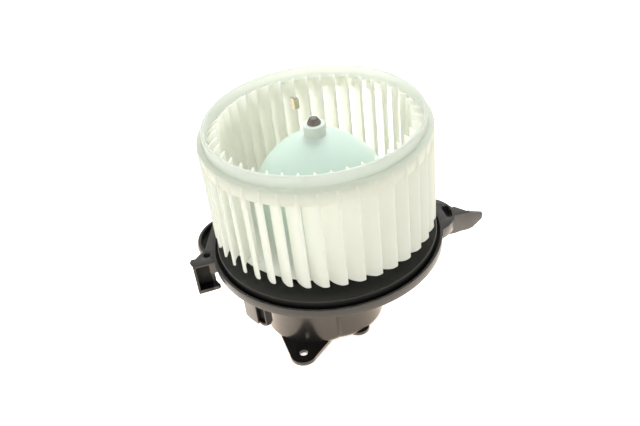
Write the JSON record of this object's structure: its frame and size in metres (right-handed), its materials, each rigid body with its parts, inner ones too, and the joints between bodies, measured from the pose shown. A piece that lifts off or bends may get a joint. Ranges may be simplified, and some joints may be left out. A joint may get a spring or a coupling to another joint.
{
  "type": "car cabin blower motor",
  "caption": "Cabin blower: a translucent forward-curved fan wheel with a hub dome turns on a flanged black motor housing with ears, wiring bracket, plug socket and lug.",
  "frame": {"origin": "centre of the flange rim, level with its top edge, on the shaft axis", "axes": "+Z along the shaft towards the air inlet; +X through both flange ear holes, away from the wiring bracket; +Y away from the side of the lug"},
  "size_m": [0.2075, 0.16, 0.1643],
  "materials": {
    "black_plastic": "moulded, fine satin",
    "black_gloss": "moulded, smooth",
    "plated_steel": "zinc plated",
    "tinned_brass": "stamped, tinned",
    "soft_rubber": "matt",
    "ferrite": "ground ferrite",
    "spring_steel": "bright",
    "bronze": "sintered",
    "cap_plastic": "moulded",
    "carbon": "pressed carbon",
    "copper": "enamelled copper",
    "milky_plastic": "natural polypropylene, milky and translucent",
    "ground_steel": "ground",
    "core_steel": "stacked sheet",
    "washer_plastic": "plain",
    "dark_spring_steel": "phosphated",
    "bronzed_clip": "spring strip"
  },
  "bodies": {
    "housing": {"flange_housing": "black_plastic", "motor_bowl": "black_gloss", "cover_screws": "plated_steel", "terminal_positive": "tinned_brass", "terminal_negative": "tinned_brass", "isolator_upper": "soft_rubber", "isolator_lower": "soft_rubber", "motor_can": "plated_steel", "magnet_front": "ferrite", "magnet_back": "ferrite", "magnet_clips": "spring_steel", "upper_bearing": "bronze", "lower_bearing": "bronze", "upper_bearing_retainer": "spring_steel", "lower_bearing_retainer": "spring_steel", "end_cap": "cap_plastic", "brush_holder_left": "tinned_brass", "brush_holder_right": "tinned_brass", "brush_spring_left": "spring_steel", "brush_spring_right": "spring_steel", "choke_front": "copper", "choke_back": "copper"},
    "rotor": {"fan_wheel": "milky_plastic", "rotor_shaft": "ground_steel", "lamination_stack": "core_steel", "armature_winding": "copper", "commutator": "copper", "thrust_washer": "washer_plastic", "shaft_retainer": "dark_spring_steel", "balance_clip": "bronzed_clip"},
    "left_brush": {"brush_left": "carbon"},
    "right_brush": {"brush_right": "carbon"}
  },
  "joints": [
    {"name": "rotor_spin", "type": "hinge", "parent": "housing", "child": "rotor", "pos_m": [0, 0, 0], "axis": [0, 0, 1], "continuous": true},
    {"name": "left_brush_slide", "type": "slide", "parent": "housing", "child": "left_brush", "axis": [-1, 0, 0], "range_m": [0, 0.003], "stiffness_N_per_m": 200, "springref_m": -0.004, "deforming": ["brush_spring_left"]},
    {"name": "right_brush_slide", "type": "slide", "parent": "housing", "child": "right_brush", "axis": [1, 0, 0], "range_m": [0, 0.003], "stiffness_N_per_m": 200, "springref_m": -0.004, "deforming": ["brush_spring_right"]}
  ]
}
